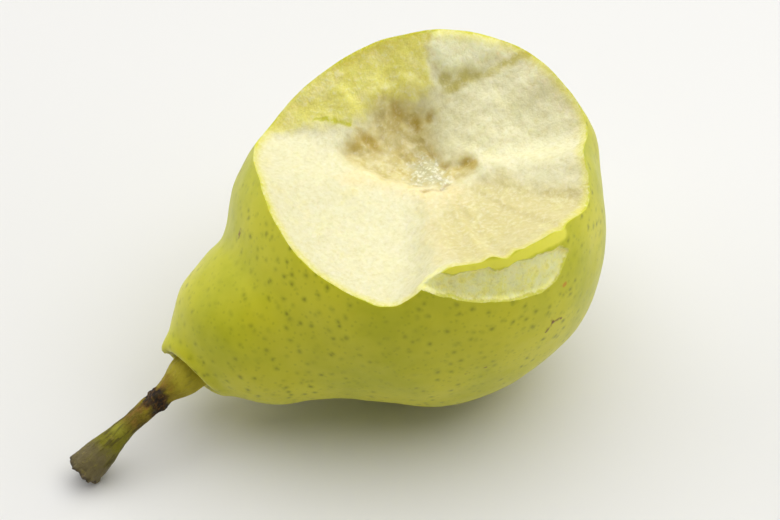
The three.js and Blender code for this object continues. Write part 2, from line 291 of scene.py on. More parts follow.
BITE_OUT = np.array([-0.21, -0.27, 0.94]) / np.linalg.norm([-0.21, -0.27, 0.94])
BITE_FLOOR = 10.0
BITE_CURVE = 1.8
BITE_HEART = np.array([0.08, 0.11, BITE_FLOOR / BULB_RADIUS])
RIM_POINTS = 1440
CORE_PIT_DEPTH = 4.0
CORE_PIT_RADIUS = 8.0
CORE_PIT_PLACE = (3.4, 9.0)
LID_HEIGHT = 3 * BULB_RADIUS


def bite_axes(out):
    """A bite's own axes: towards the blossom end, across the fruit, and out of it."""
    along = ALONG - (ALONG @ out) * out
    along /= np.linalg.norm(along)
    return np.array([along, np.cross(out, along), out])


BITE_AXES = bite_axes(BITE_OUT)
SHALLOW_OUT = np.array([0.02, -0.82, 0.57]) @ BITE_AXES
SHALLOW_AXES = bite_axes(SHALLOW_OUT / np.linalg.norm(SHALLOW_OUT))

# Where the bite meets the skin, in bulb radii on the bite's own axes.
BITE_RIM = (
    (0.87, 0.08, 0.48), (0.84, 0.27, 0.47), (0.76, 0.43, 0.47), (0.6, 0.57, 0.52),
    (0.41, 0.68, 0.53), (0.22, 0.76, 0.48), (0.02, 0.81, 0.45), (-0.17, 0.84, 0.42),
    (-0.36, 0.83, 0.38), (-0.55, 0.78, 0.33), (-0.69, 0.62, 0.45), (-0.79, 0.42, 0.58),
    (-0.88, 0.14, 0.63), (-0.89, -0.13, 0.62), (-0.82, -0.36, 0.6), (-0.72, -0.52, 0.57),
    (-0.6, -0.59, 0.6), (-0.39, -0.62, 0.72), (-0.31, -0.655, 0.73), (-0.23, -0.69, 0.72),
    (-0.17, -0.7, 0.72), (-0.11, -0.745, 0.7), (-0.05, -0.74, 0.7), (0.0, -0.75, 0.69),
    (0.09, -0.755, 0.67), (0.17, -0.75, 0.64), (0.25, -0.76, 0.6), (0.3, -0.74, 0.59),
    (0.4, -0.715, 0.52), (0.5, -0.68, 0.47), (0.58, -0.57, 0.49), (0.66, -0.44, 0.5),
    (0.8, -0.32, 0.4), (0.87, -0.12, 0.43),
)

# Edge of the second, shallow bite, in millimetres on its own two axes. It only peels the skin
# off, and leaves a thin strip between itself and the main hollow.
PEEL_EDGE = (
    (8.0, -3.4), (4.6, -5.0), (1.5, -6.0), (-2.3, -5.3), (-6.4, -3.1), (-10.4, 0.1),
    (-13.8, 3.5), (-15.7, 5.3), (-17.7, 7.9), (-19.2, 10.2), (-19.0, 12.6), (-16.0, 13.2),
    (-14.4, 11.4), (-13.4, 10.1), (-11.7, 9.2), (-8.9, 7.6), (-7.6, 7.0), (-6.5, 5.9),
    (-4.4, 4.8), (-2.6, 4.4), (-0.6, 3.4), (1.0, 2.5), (3.4, 1.0), (6.5, -0.5),
)
PEEL_DEPTH = 1.0
STRIP_LINE = ((-13.3, 10.4), (-8.5, 8.2), (-4.1, 5.5), (0.2, 4.2), (5.0, 2.0), (8.0, 0.5))


def bowl(spots):
    """Share of the way to the rim at each spot, and the height of a plain bowl's floor there."""
    centre = BITE_HEART * BULB_RADIUS
    edge = spline(BITE_RIM, np.arange(RIM_POINTS) / RIM_POINTS, closed=True) * BULB_RADIUS - centre
    angle = np.arctan2(edge[:, 1], edge[:, 0])
    order = np.argsort(angle)
    away = spots - centre[:2]
    here = np.arctan2(away[..., 1], away[..., 0])
    reach = np.hypot(edge[:, 0], edge[:, 1])[order]
    rim_reach = np.interp(here, angle[order], reach, period=WHOLE_TURN)
    rim_height = np.interp(here, angle[order], edge[order, 2], period=WHOLE_TURN)
    share = np.hypot(away[..., 0], away[..., 1]) / rim_reach
    inner = rim_height * np.minimum(share, 1.0) ** BITE_CURVE
    outer = np.maximum(share - 1.0, 0.0) * (rim_height + BULB_RADIUS)
    return share, centre[2] + inner + outer


# What the teeth and the core left on the hollow's floor, in millimetres along and across it.
# Ridges between tooth scoops: a bent line, its height and its half-width.
RIDGES = (
    (((-21, -23), (-14.5, -18.4), (-10.2, -12.1), (-6.7, -6.3), (-3.9, -1.6)), 1.4, 3.0),
    (((8.9, -3.1), (13.1, -11.6), (16.8, -19.2), (19.5, -25)), 0.7, 3.2),
)

# Soft lobes and scoops: middle, half-sizes, turn in degrees and height, negative for a scoop.
LOBES_AND_SCOOPS = (
    ((-22, 4), (12, 14), 0, -1.5),
    ((2, -17), (9, 8), 0, -1.4),
    ((24, -4), (8, 12), 0, -1.2),
    ((3.2, 21.5), (2.3, 3.6), -20, 0.9),
    ((8.4, 19.4), (2.0, 3.4), -25, 0.8),
    ((-2.6, 23.5), (2.4, 3.4), -20, 0.7),
    ((-12.0, 20.5), (8.0, 3.0), -35, 0.6),
    ((12.6, 17.6), (1.7, 2.6), -35, 0.7),
    ((19.5, 6.5), (4.5, 3.0), 20, 0.5),
    ((26.0, 3.0), (4.0, 3.5), 0, 0.5),
    ((16.0, -1.5), (3.5, 2.5), 30, 0.4),
    ((1.6, 2.8), (3.0, 3.4), 0, 0.9),
)

# Ochre stains where seeds and their chambers were torn out: middle, half-sizes, turn, strength
# and depth.
OCHRE_STAINS = (
    ((4.9, 17.6), (1.8, 2.9), -25, 0.75, 0.35),
    ((6.6, 14.1), (1.6, 2.1), 0, 0.95, 0.63),
    ((9.7, 12.6), (1.3, 1.2), 0, 0.8, 0.49),
    ((-3.2, 16.0), (1.8, 3.6), 12, 0.85, 0.35),
    ((-7.2, 17.0), (2.4, 2.0), 20, 0.6, 0.21),
    ((-4.6, 13.4), (1.6, 2.0), 30, 0.55, 0.21),
    ((1.4, 13.0), (3.2, 2.6), 0, 0.5, 0.21),
    ((5.3, 7.7), (1.8, 1.2), 10, 0.6, 0.28),
    ((6.9, 3.4), (1.5, 1.5), 0, 0.85, 0.42),
    ((8.8, 0.6), (1.3, 2.6), 30, 0.9, 0.49),
    ((-3.5, -1.7), (0.9, 0.7), 0, 0.6, 0.21),
)

TORN_CORE = (
    (-11, 18.5), (-10.2, 12.5), (-8.2, 7.0), (-5.4, 3.2), (-3.4, -0.4), (0.5, -3.8), (5, -3.6),
    (9.4, -3.4), (10.2, 0.5), (8.8, 4), (7.8, 8), (9.6, 11), (10.6, 14), (8.4, 19.5), (3, 21),
    (-3, 19.5),
)
FLAKE = (
    (15.2, 16.4), (16.2, 22), (20, 30), (31, 24), (30, 15), (26.4, 13.2), (21.7, 12.8), (18, 14.2),
)
WET_SIDE = (
    (-24, 33), (-13.5, 26.6), (-9.0, 24.4), (-3.6, 20.6), (0, 19.6), (5, 19.5), (9, 17.5),
    (12.5, 16.5), (14.5, 19), (17, 23), (20, 30), (14, 40), (-10, 42),
)
YELLOW_SIDE = (
    (-13, -22), (-9, -13), (-4.5, -6.5), (1, -5), (8, -5), (12, -8), (15, -14), (18, -20),
    (20, -28), (8, -36), (-10, -34),
)
FAR_SIDE = (
    (9, -1), (14, -4), (20, -10), (27, -18), (36, -20), (42, 0), (38, 20), (26, 30),
    (16, 22), (11, 15), (8.5, 8),
)
SKIN_REMNANT = ((-10.0, 25.6), (-7.6, 24.2), (-4.4, 21.4))
CORE_CRACK = ((-4.2, -1.2), (-2.5, -2.2), (0.2, -3.2), (3.0, -2.6))


def inside_depth(spots, corners):
    """Distance of each spot inside a closed line, and minus its distance where it is outside."""
    closed = np.asarray(tuple(corners) + corners[:1], float)
    away, _ = near_path(spots, closed)
    crossings = np.zeros(spots.shape[:-1], int)
    for (start_x, start_y), (end_x, end_y) in zip(closed[:-1], closed[1:]):
        spans = (start_y > spots[..., 1]) != (end_y > spots[..., 1])
        rise = np.where(end_y == start_y, 1e-9, end_y - start_y)
        meets = start_x + (spots[..., 1] - start_y) * (end_x - start_x) / rise
        crossings += spans & (spots[..., 0] < meets)
    return np.where(crossings % 2 == 1, away, -away)


def flat_points(spots):
    """The 2-D spots as 3-D points with no height."""
    return np.concatenate([spots, np.zeros(spots.shape[:-1] + (1,))], -1)


def wandered(spots, amount=1.0):
    """Spots shifted unevenly, so that an edge drawn through them runs ragged."""
    points = flat_points(spots)
    broad = np.stack([lumps(points, 5.0, 71), lumps(points, 5.0, 72)], -1)
    fine = np.stack([lumps(points, 1.4, 73), lumps(points, 1.4, 74)], -1)
    return spots + amount * (1.3 * broad + 0.5 * fine)


def torn_core(spots):
    """1 in the torn core, fading over its soft edge."""
    return smooth_step(inside_depth(wandered(spots), TORN_CORE), -1.4, 3.0)


def hollow_height(spots):
    """Height of the main hollow's floor along the bite, with everything that the teeth left."""
    share, height = bowl(spots)
    pit = blob(spots, CORE_PIT_PLACE, (CORE_PIT_RADIUS, CORE_PIT_RADIUS))
    height = height - CORE_PIT_DEPTH * pit
    return height + hollow_detail(spots, share)


def hollow_detail(spots, share):
    """Ridges, scoops, torn core, flakes and grain."""
    points = flat_points(spots)
    moved = wandered(spots)
    height = np.zeros(share.shape)
    for line, lift, width in RIDGES:
        away, _ = near_path(moved, line)
        height += lift * np.exp(-((away / width) ** 1.6))
    for middle, size, turn, lift in LOBES_AND_SCOOPS:
        height += lift * blob(moved, middle, size, turn)
    core = torn_core(spots)
    height -= 1.5 * core
    for middle, size, turn, _, depth in OCHRE_STAINS:
        height -= depth * blob(moved, middle, size, turn)
    crack, _ = near_path(moved, CORE_CRACK)
    height -= 0.5 * np.exp(-((crack / 0.7) ** 2))
    height += 1.3 * smooth_step(inside_depth(moved, FLAKE), -1.0, 1.6)
    height += 0.16 * rough(points, 6.0, 3) + 0.13 * rough(points, 1.6, 8)
    height += core * 0.45 * rough(points, 2.0, 14)
    wet = smooth_step(inside_depth(moved, WET_SIDE), -1.5, 1.5)
    height += wet * 0.22 * rough(points, 4.5, 18, 2)
    return height * (1.0 - smooth_step(share, 0.93, 1.04)) + 0.2 * lumps(points, 2.0, 91)


def hollow_marks(spots):
    """How strongly each kind of flesh shows at each spot of the hollow, from 0 to 1; the flake's mark
    also carries painted light.
    """
    moved = wandered(spots, 1.3)

    def region(corners, blur):
        return smooth_step(inside_depth(moved, corners), -blur, blur)

    def line(path, width):
        return np.exp(-((near_path(moved, path)[0] / width) ** 2))

    stains = np.zeros(len(spots))
    for middle, size, turn, strength, _ in OCHRE_STAINS:
        stains = np.maximum(stains, strength * blob(moved, middle, size, turn))
    return {
        "torn_core": torn_core(spots),
        "ochre_stain": stains,
        "wet_side": region(WET_SIDE, 2.2),
        "yellow_side": region(YELLOW_SIDE, 4.0),
        "far_side": region(FAR_SIDE, 3.5),
        # Partly painted light: the flake's whitish colour is brightened against the shade on its steep
        # wall.
        "lit_flake": region(FLAKE, 1.6),
        "valley": line(((15.2, 15.3), (16.9, 13.6), (21.6, 11.6), (26, 10.6), (31, 9.2)), 1.6),
        "peach_lip": line(((-13, 10), (-9, 6.5), (-6, 2), (-3, -3), (2, -5)), 3.4),
        "fibre_knot": blob(wandered(spots, 0.6), (1.8, 3.0), (3.8, 5.0), -20),
        "crack": line(CORE_CRACK, 0.7),
        "skin_remnant": line(SKIN_REMNANT, 0.7),
        "peach_bleed": line(((-5, -5), (-8, -12), (-12, -19)), 3.0),
    }


def peel_height(spots, whole):
    """Height of the shallow bite's floor along its own axes: it follows the skin, a little under."""
    start = np.concatenate([spots, np.full(spots.shape[:-1] + (1,), LID_HEIGHT)], -1)
    start = start @ SHALLOW_AXES + BULB_CENTRE
    down = Vector(-SHALLOW_AXES[2])
    skin = np.empty(spots.shape[:-1])
    for index in np.ndindex(skin.shape):
        distance = whole.ray_cast(Vector(start[index]), down)[3]
        skin[index] = LID_HEIGHT - distance if distance else 2 * BULB_RADIUS
    points = flat_points(spots)
    ragged = 0.35 * rough(points, 2.4, 25, 2)
    inside = inside_depth(spots, PEEL_EDGE) + ragged
    sunk = PEEL_DEPTH * smooth_step(inside, 0.0, 1.1) * (1.0 + 0.2 * rough(points, 3.0, 21))
    clear = np.minimum(np.maximum(-inside, 0.0), 2.0)
    return skin - sunk + clear + 0.03


def cutter(name, low, high, step, height_of, axes, material):
    """A solid to cut away: a floor of the given heights over a rectangle, closed by a lid."""
    first = np.arange(low[0], high[0], step)
    second = np.arange(low[1], high[1], step)
    spots = np.stack(np.meshgrid(first, second, indexing="ij"), -1)
    floor = np.concatenate([spots, height_of(spots)[..., None]], -1).reshape(-1, 3)
    quads, edge = grid_faces(len(first), len(second))
    raised = floor[edge].copy()
    raised[:, 2] = LID_HEIGHT
    points = np.concatenate([floor, raised]) @ axes
    above = len(first) * len(second) + np.arange(len(edge))
    walls = np.stack([edge, np.roll(edge, -1), np.roll(above, -1), above], -1)
    faces = quads.tolist() + walls.tolist() + [above.tolist()]
    return new_piece(name, points + BULB_CENTRE, faces, [material])


# ---- Shader nodes written as expressions ----


class Wire:
    """An output of a material's nodes; arithmetic on it adds Math nodes."""

    def __init__(self, maker, socket):
        self.maker = maker
        self.socket = socket

    def maths(self, operation, first, second):
        return self.maker.add("ShaderNodeMath", {"operation": operation}, {0: first, 1: second})

    def __add__(self, other):
        return self.maths("ADD", self, other)

    __radd__ = __add__

    def __mul__(self, other):
        return self.maths("MULTIPLY", self, other)

    __rmul__ = __mul__

    def __sub__(self, other):
        return self.maths("SUBTRACT", self, other)

    def __rsub__(self, other):
        return self.maths("SUBTRACT", other, self)


class Maker:
    """Builds one material."""

    def __init__(self, name):
        self.material = bpy.data.materials.new(name)
        self.material.use_nodes = True
        self.tree = self.material.node_tree
        self.tree.nodes.clear()

    def add(self, kind, settings=None, inputs=None, output=0):
        """Adds a node: its settings first, then the values or links of its sockets."""
        node = self.tree.nodes.new(kind)
        for name, value in (settings or {}).items():
            setattr(node, name, value)
        for key, value in (inputs or {}).items():
            if isinstance(value, Wire):
                self.tree.links.new(value.socket, node.inputs[key])
            else:
                node.inputs[key].default_value = value
        return Wire(self, node.outputs[output]) if node.outputs else None

    def place(self):
        """The place on the piece, in metres."""
        return self.add("ShaderNodeTexCoord", output="Object")

    def attribute(self, name):
        """The number that the mesh keeps under a name."""
        return self.add("ShaderNodeAttribute", {"attribute_name": name}, output="Fac")

    def step(self, value, low, high):
        """0 below low and 1 above high, or the other way round where low is the higher."""
        return self.add(
            "ShaderNodeMapRange",
            {"interpolation_type": "SMOOTHSTEP"},
            {"Value": value, "From Min": low, "From Max": high},
        )

    def noise(self, place, size, detail=2.0, roughness=0.5, output="Fac"):
        """Noise with features about as wide as size in metres."""
        return self.add(
            "ShaderNodeTexNoise",
            {},
            {"Vector": place, "Scale": 1.0 / size, "Detail": detail, "Roughness": roughness},
            output,
        )

    def cells(self, place, size):
        """Distance from the middles of uneven cells about as wide as size in metres."""
        inputs = {"Vector": place, "Scale": 1.0 / size}
        return self.add("ShaderNodeTexVoronoi", {}, inputs, "Distance")

    def mix(self, factor, first, second):
        """Colours mixed by a factor."""
        return self.add("ShaderNodeMix", {"data_type": "RGBA"}, {0: factor, 6: first, 7: second}, 2)

    def vector(self, operation, first, second=None, scale=None, output=0):
        inputs = {0: first}
        if second is not None:
            inputs[1] = second
        if scale is not None:
            inputs["Scale"] = scale
        return self.add("ShaderNodeVectorMath", {"operation": operation}, inputs, output)

    def near_line(self, place, start, end, width):
        """1 on a straight mark between two points in millimetres, fading over its width."""
        begin = Vector(start) * MM
        way = (Vector(end) - Vector(start)) * MM
        off = self.vector("SUBTRACT", place, begin)
        dot = self.vector("DOT_PRODUCT", off, way, output="Value")
        share = self.add("ShaderNodeClamp", {}, {"Value": dot * (1.0 / way.length_squared)})
        nearest = self.vector("SCALE", tuple(way), scale=share)
        away = self.vector("LENGTH", self.vector("SUBTRACT", off, nearest), output="Value")
        return self.step(away, width * MM, 0.35 * width * MM)

    def bump(self, height, distance, strength):
        """A normal tilted by a height, which is worth a distance in millimetres."""
        inputs = {"Height": height, "Distance": distance * MM, "Strength": strength}
        return self.add("ShaderNodeBump", {}, inputs)

    def finish(self, **inputs):
        """Ends in a Principled shader whose sockets take these values, by name."""
        sockets = {name.replace("_", " "): value for name, value in inputs.items()}
        shader = self.add("ShaderNodeBsdfPrincipled", {}, sockets)
        self.add("ShaderNodeOutputMaterial", {}, {"Surface": shader})
        return self.material


def colour(red, green, blue):
    """A linear colour with alpha from ordinary 0 to 255 values."""
    parts = [part / 255 for part in (red, green, blue)]
    line = [p / 12.92 if p <= 0.04045 else ((p + 0.055) / 1.055) ** 2.4 for p in parts]
    return (*line, 1.0)


# ---- Materials ----


# Russet scratches and stains on the skin: two ends in millimetres and a width.
RUSSET_LINES = (
    ((-26.5, 20.5, 53.5), (-23.5, 23.5, 55.5), 0.9),
    ((-29.5, 20.5, 51.5), (-25.0, 21.5, 54.6), 0.6),
    ((-30.5, 22.0, 50.0), (-27.5, 22.5, 53.0), 0.5),
    ((5.0, -35.4, 36.0), (6.8, -35.2, 38.1), 0.5),
    ((6.8, -35.2, 38.1), (8.8, -35.0, 37.6), 0.5),
    ((6.8, -35.2, 38.1), (5.6, -35.3, 39.6), 0.45),
    ((-12.0, -31.9, 30.2), (-9.6, -33.0, 30.2), 0.4),
    ((-9.6, -33.0, 30.2), (-7.0, -33.6, 31.4), 0.45),
    ((-37.2, 9.4, 47.0), (-36.6, 9.4, 47.8), 0.8),
)
ORANGE_SPOT = (9.3, -34.1, 45.6)


def skin_material(settings):
    """Waxy yellow-green skin with lenticels and russet scratches."""
    maker = Maker("pear_skin")
    place = maker.place()
    broad = maker.noise(place, 0.022, 3.0)
    fine = maker.noise(place, 0.004, 3.0)
    tiny = maker.noise(place, 0.0009, 3.0)
    ground = maker.mix(maker.step(broad, 0.35, 0.65), settings.green, settings.yellow)
    ground = maker.mix(maker.step(fine, 0.3, 0.75) * 0.25, ground, colour(222, 218, 60))
    swirl = maker.noise(place, 0.0022, 2.0, 0.5, "Color")
    wavy = maker.vector("ADD", place, maker.vector("SCALE", swirl, scale=0.0009))
    dots = maker.cells(wavy, settings.lenticel_spacing)
    faint_dots = maker.cells(wavy, 0.62 * settings.lenticel_spacing)
    strong = maker.step(broad + (fine - 0.5) * 0.9, 0.36, 0.66)
    halo = maker.step(dots, 0.5, 0.05) * (0.18 + 0.3 * strong)
    heart = maker.step(dots + (tiny - 0.5) * 0.2, 0.27, 0.02) * (0.08 + 0.5 * strong)
    faint = maker.step(faint_dots, 0.34, 0.05) * 0.28
    ground = maker.mix(halo, ground, colour(152, 158, 18))
    ground = maker.mix(faint, ground, colour(142, 148, 22))
    ground = maker.mix(heart, ground, colour(118, 112, 8))
    scratched = maker.vector("ADD", place, maker.vector("SCALE", swirl, scale=0.0012))
    scratched = maker.vector("SUBTRACT", scratched, (0.0006, 0.0006, 0.0006))
    russet = 0.0
    for start, end, width in RUSSET_LINES:
        russet = maker.near_line(scratched, start, end, width) + russet
    orange_start = Vector(ORANGE_SPOT)
    orange = maker.near_line(place, orange_start, orange_start + Vector((0.3, 0, 0.1)), 0.7)
    ground = maker.mix(russet * maker.step(tiny, 0.3, 0.6), ground, colour(128, 92, 34))
    ground = maker.mix(orange * 0.8, ground, colour(206, 138, 30))
    dry = maker.step(maker.attribute("near_ends") + (fine - 0.5) * 0.5, 0.45, 0.9)
    ground = maker.mix(dry * 0.75, ground, colour(134, 108, 46))
    # Painted shade: the skin is darkened to olive-brown in the crease round the stem's foot, where the
    # overhanging lip shades it.
    crease = maker.attribute("stem_crease_shade")
    ground = maker.mix(crease * maker.step(fine, 0.25, 0.6) * 0.85, ground, colour(92, 78, 14))
    # Painted light: the thin strip of skin between the two bites is painted much brighter and
    # yellower, as if it faced the lamp and glowed through.
    strip_light = maker.step(maker.attribute("lit_thin_strip") + (fine - 0.5) * 0.6, 0.3, 0.8)
    ground = maker.mix(strip_light * 0.75, ground, colour(250, 245, 92))
    height = 0.25 * tiny + 0.4 * fine + 0.3 * russet
    return maker.finish(
        Base_Color=ground,
        Roughness=0.36 + 0.14 * tiny + 0.2 * dry,
        Normal=maker.bump(height, 0.16, 0.5),
        Subsurface_Weight=0.25,
        Subsurface_Radius=(1.0, 0.8, 0.15),
        Subsurface_Scale=0.0015,
        Specular_IOR_Level=0.24,
        Sheen_Weight=0.2,
        Sheen_Roughness=0.4,
        Sheen_Tint=(0.95, 0.95, 0.62, 1.0),
    )


def flesh_material(settings):
    """Juicy, grainy pear flesh: yellow-green under the skin, cream within."""
    maker = Maker("pear_flesh_cut")
    place = maker.place()
    grain = maker.noise(place, 0.0009, 4.0, 0.65)
    broad = maker.noise(place, 0.006, 3.0, 0.6)
    streaks = maker.noise(place, 0.0026, 3.0, 0.6)
    ragged = (broad - 0.5) * 0.9 + (streaks - 0.5) * 0.8 + (grain - 0.5) * 0.4

    def patch(name, low=0.0, high=1.0):
        return maker.step(maker.attribute(name) + ragged, low, high)

    depth = maker.attribute("under_skin") + (broad - 0.5) * 2.0 + (grain - 0.5) * 0.6
    ground = maker.mix(patch("yellow_side") * 0.9, settings.flesh, colour(216, 204, 142))
    ground = maker.mix(patch("peach_bleed", 0.2, 1.1) * 0.5, ground, colour(228, 214, 160))
    ground = maker.mix(patch("far_side"), ground, colour(236, 231, 188))
    ground = maker.mix(patch("wet_side"), ground, colour(236, 229, 112))
    pale_wet = patch("wet_side") * maker.step(broad, 0.45, 0.62)
    ground = maker.mix(pale_wet * 0.6, ground, colour(240, 232, 158))
    # Partly painted light: the raised flake is whitish torn flesh, painted lighter still to make up
    # for the shade on its steep wall.
    ground = maker.mix(patch("lit_flake"), ground, colour(252, 249, 205))
    ground = maker.mix(patch("peach_lip", 0.2, 1.1) * 0.7, ground, colour(242, 226, 172))
    ground = maker.mix(maker.step(depth, 2.6, 0.4) * 0.7, ground, colour(228, 222, 104))
    # Partly painted light: the peeled facet shows its own pale yellow flesh just under the skin,
    # painted brighter still to make up for the shade in its shallow recess.
    brightened_peel = maker.attribute("brightened_peel") * maker.step(depth, 0.1, 0.7)
    pale = maker.step(streaks, 0.35, 0.65)
    lit_peel_colour = maker.mix(pale, colour(255, 248, 138), colour(255, 252, 178))
    ground = maker.mix(brightened_peel, ground, lit_peel_colour)
    ground = maker.mix(maker.step(depth, 0.5, 0.05), ground, colour(214, 213, 56))
    brown = maker.mix(maker.step(streaks, 0.35, 0.62), colour(200, 180, 96), colour(226, 214, 154))
    ground = maker.mix(patch("torn_core", 0.1, 1.1) * 0.9, ground, brown)
    ground = maker.mix(patch("ochre_stain", 0.15, 0.95) * 0.85, ground, colour(194, 166, 52))
    ground = maker.mix(patch("valley", 0.2, 1.2) * 0.8, ground, colour(196, 184, 70))
    ground = maker.mix(patch("fibre_knot", 0.2, 0.8) * 0.9, ground, colour(205, 201, 162))
    pale_fibres = patch("fibre_knot", 0.2, 0.8) * maker.step(grain, 0.5, 0.6)
    ground = maker.mix(pale_fibres * 0.8, ground, colour(242, 240, 216))
    ground = maker.mix(patch("crack", 0.5, 1.1) * 0.4, ground, colour(176, 140, 76))
    ground = maker.mix(patch("skin_remnant", 0.5, 1.0), ground, colour(206, 204, 30))
    ground = maker.mix(maker.step(grain, 0.45, 0.75) * 0.35, ground, colour(252, 249, 226))
    ground = maker.mix(maker.step(grain, 0.5, 0.3) * 0.3, ground, colour(206, 196, 124))
    height = grain + 0.6 * broad + 0.5 * streaks
    return maker.finish(
        Base_Color=ground,
        Roughness=0.28 + 0.35 * grain,
        Normal=maker.bump(height, 0.45, 0.5),
        Subsurface_Weight=0.6,
        Subsurface_Radius=(1.0, 0.85, 0.45),
        Subsurface_Scale=0.003,
        Specular_IOR_Level=0.4,
        Coat_Weight=0.3 * maker.step(streaks, 0.52, 0.62),
        Coat_Roughness=0.12,
    )


def stem_material():
    """Green bark at the fruit's end, a corky node, and grey-brown wood at the broken end."""
    maker = Maker("stem_bark")
    place = maker.place()
    grain = maker.noise(place, 0.0011, 4.0, 0.65)
    spots = maker.noise(place, 0.0028, 3.0, 0.6)
    upper = maker.attribute("upper")
    length = maker.attribute("way")
    spread = maker.add(
        "ShaderNodeCombineXYZ", {},
        {0: length * 0.006, 1: maker.attribute("level") * 0.0021, 2: upper * 0.0021},
    )
    fibres = maker.noise(spread, 0.0008, 4.0, 0.6)
    way = length + (spots - 0.5) * 0.25 + (fibres - 0.5) * 0.12
    ground = maker.mix(maker.step(way, 0.14, 0.3), colour(186, 172, 40), colour(146, 128, 18))
    ground = maker.mix(maker.step(way, 0.42, 0.5), ground, colour(112, 96, 10))
    ground = maker.mix(maker.step(way, 0.56, 0.66), ground, colour(122, 117, 14))
    ground = maker.mix(maker.step(way, 0.76, 0.9), ground, colour(108, 97, 60))
    woody = maker.step(way, 0.2, 0.36)
    rust = maker.step(spots + upper * 0.1 + (fibres - 0.5) * 0.6, 0.56, 0.72)
    rust = rust * maker.step(way, 0.74, 0.5) * woody
    ground = maker.mix(rust * 0.6, ground, colour(146, 102, 36))
    ground = maker.mix(maker.attribute("green_bump") * 0.85, ground, colour(158, 156, 44))
    ragged = (grain - 0.5) * 0.8 + (spots - 0.5) * 0.9 + (fibres - 0.5) * 0.5
    cork = maker.attribute("cork") + ragged
    dark = maker.mix(maker.step(grain, 0.42, 0.66), colour(30, 20, 6), colour(92, 60, 18))
    ground = maker.mix(maker.step(cork, 0.3, 0.8), ground, dark)
    broken = maker.step(maker.attribute("broken") + (grain - 0.5) * 0.8, 0.3, 0.8)
    grey = maker.mix(maker.step(grain, 0.35, 0.65), colour(34, 27, 18), colour(112, 98, 72))
    ground = maker.mix(broken, ground, grey)
    furrows = maker.step(fibres, 0.5, 0.34) * (0.2 + 0.45 * woody)
    ground = maker.mix(furrows, ground, colour(62, 50, 16))
    ground = maker.mix(maker.step(grain, 0.56, 0.7) * 0.3, ground, colour(160, 146, 58))
    return maker.finish(
        Base_Color=ground,
        Roughness=0.5 + 0.35 * grain,
        Normal=maker.bump(grain + 1.2 * fibres, 0.4, 1.0),
        Specular_IOR_Level=0.3,
    )


def sepal_material():
    """Brown, papery leaf, flecked darker and paler."""
    maker = Maker("dry_sepal")
    place = maker.place()
    grain = maker.noise(place, 0.0006, 4.0, 0.65)
    spots = maker.noise(place, 0.0018, 3.0, 0.6)
    ground = maker.mix(maker.step(grain, 0.3, 0.7), colour(44, 30, 18), colour(104, 76, 46))
    ground = maker.mix(maker.step(spots, 0.5, 0.7) * 0.6, ground, colour(128, 104, 66))
    return maker.finish(
        Base_Color=ground,
        Roughness=0.75 + 0.2 * grain,
        Normal=maker.bump(grain + 0.5 * spots, 0.2, 0.9),
        Specular_IOR_Level=0.25,
    )


# ---- Pieces ----


# The side on which the fruit's flesh stands back from the stem's foot.
STEM_OPEN_SIDE = np.array([0.0, -0.656, 0.755])
STEM_OPEN_WIDTH = 1.5
STEM_LIP_REACH = 6.4
STEM_LIP_HALF_WIDTH = 1.5
STEM_CREASE_REACH = 4.2
STEM_CREASE_DEPTH = 2.8
STEM_CREASE_HALF_WIDTH = 0.9


def skin_grid(rings, sides):
    """The whole skin before the bite, as rings of points between its two poles."""
    fine = np.linspace(0, 1, 2001)
    line = spline(OUTLINE, fine)
    length = np.concatenate([[0], np.cumsum(np.linalg.norm(np.diff(line, axis=0), axis=1))])
    shares = np.interp(np.linspace(0, length[-1], rings + 2), length, fine)
    turns = WHOLE_TURN * np.arange(sides) / sides
    grid = skin_point(shares[1:-1, None], turns[None, :])
    before = np.concatenate([skin_point(shares[:1, None], turns[None, :]), grid[:-1]])
    after = np.concatenate([grid[1:], skin_point(shares[-1:, None], turns[None, :])])
    beside = np.roll(grid, -1, axis=1) - np.roll(grid, 1, axis=1)
    normal = np.cross(beside, after - before)
    normal /= np.maximum(np.linalg.norm(normal, axis=-1, keepdims=True), 1e-9)
    lift = 0.3 * rough(grid, 13.0, 31, 2) + 0.07 * rough(grid, 3.5, 35, 2)
    beside_stem = from_stem(grid)
    from_seat = grid - skin_point(np.zeros(1), np.zeros(1))
    upper = smooth_step(from_seat @ CROWN, -4.0, 3.0)
    opened = STEM_OPEN_WIDTH * smooth_step(from_seat @ STEM_OPEN_SIDE, -1.0, 4.0)
    lip = (beside_stem - STEM_LIP_REACH - opened) / STEM_LIP_HALF_WIDTH
    lift += (0.5 + 0.4 * upper) * np.exp(-(lip**2))
    crease = np.maximum(beside_stem - STEM_CREASE_REACH - opened, 0) / STEM_CREASE_HALF_WIDTH
    lift -= STEM_CREASE_DEPTH * np.exp(-(crease**2))
    grid = grid + normal * lift[..., None]
    poles = skin_point(shares[[0, -1]], np.zeros(2))
    return np.concatenate([poles[:1], grid.reshape(-1, 3), poles[1:]])


